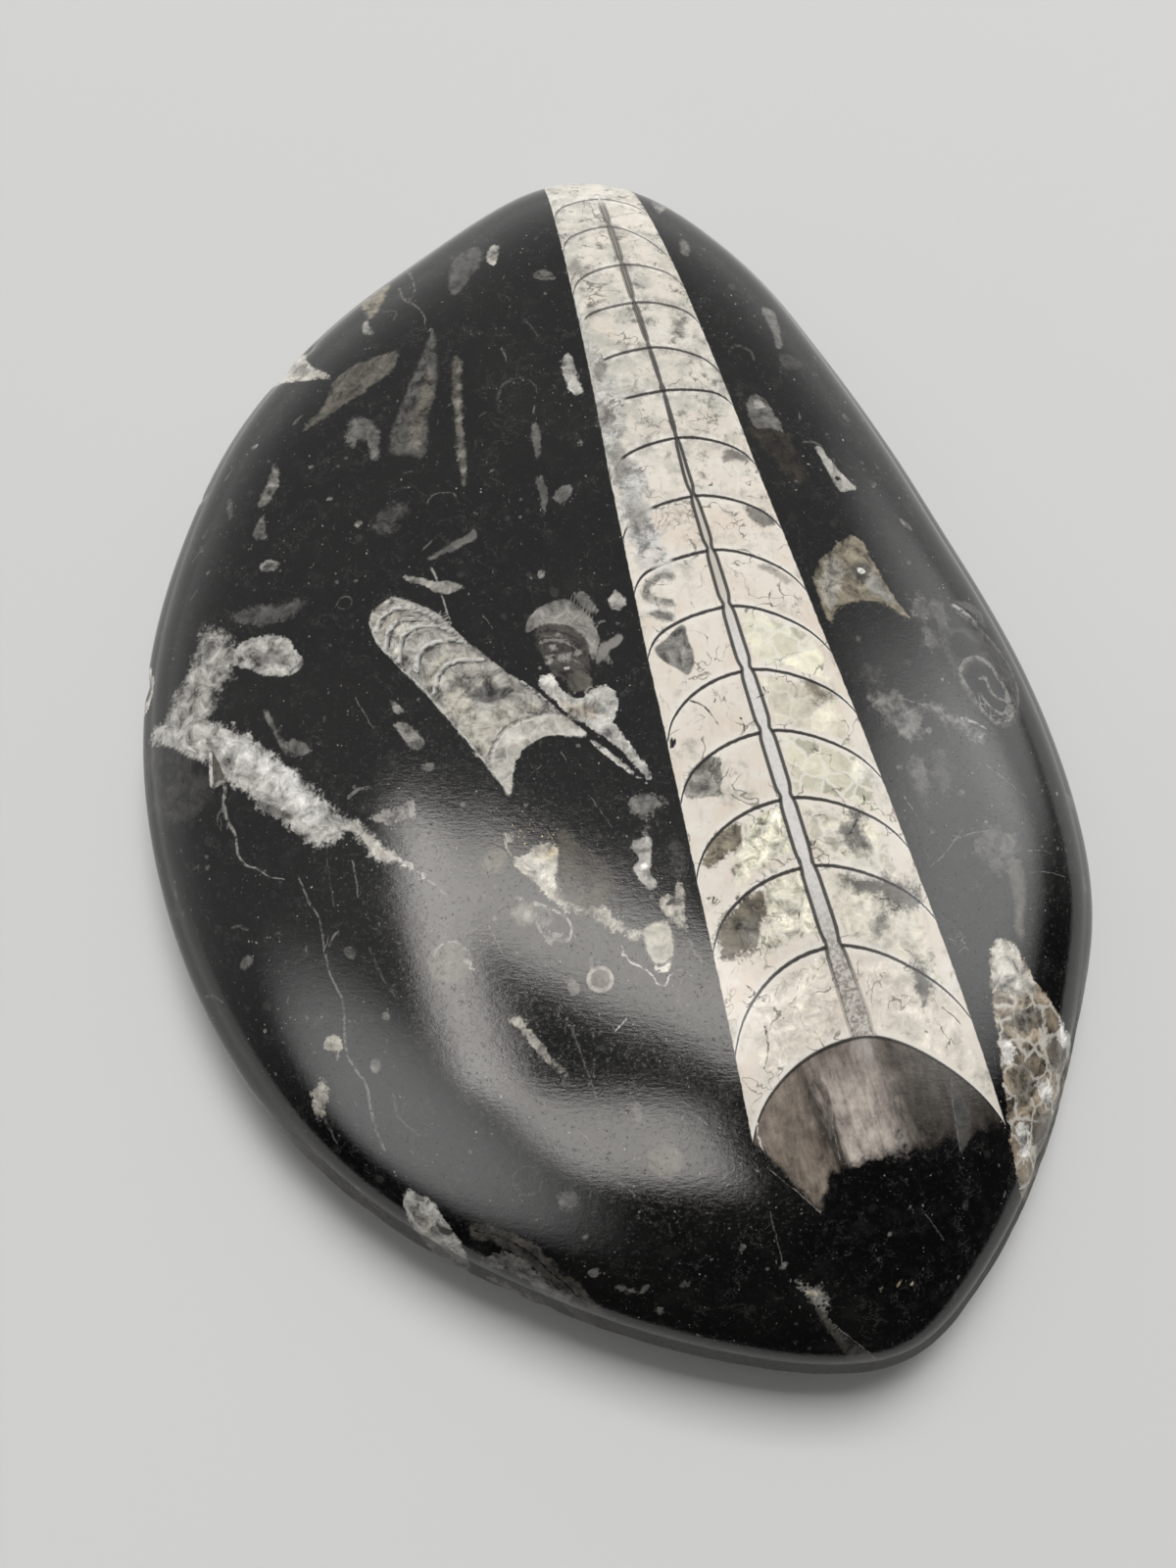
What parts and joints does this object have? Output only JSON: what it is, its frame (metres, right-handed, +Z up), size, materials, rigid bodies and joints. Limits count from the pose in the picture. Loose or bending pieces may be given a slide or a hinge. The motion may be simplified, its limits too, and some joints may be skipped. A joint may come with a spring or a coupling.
{
  "type": "polished fossil stone",
  "caption": "egg-shaped slab of black limestone, domed and polished on top, with a long chambered white fossil cone and small shells sawn flush; lies on a flat base",
  "frame": {"origin": "the middle of the slab's bounding box, on the flat base at Z = 0", "axes": "+Z up out of the polished top; +Y along the slab's length towards its narrow end, where the fossil's thin end runs out; +X to the right, seen from above"},
  "size_m": [0.1062, 0.1424, 0.0187],
  "materials": {
    "black_fossil_limestone": "polished black limestone with white and grey calcite fossils flush in the top; the rim's near flat and the underside are ground and matt"
  },
  "bodies": {
    "root": {"polished_stone": "black_fossil_limestone"}
  },
  "joints": []
}
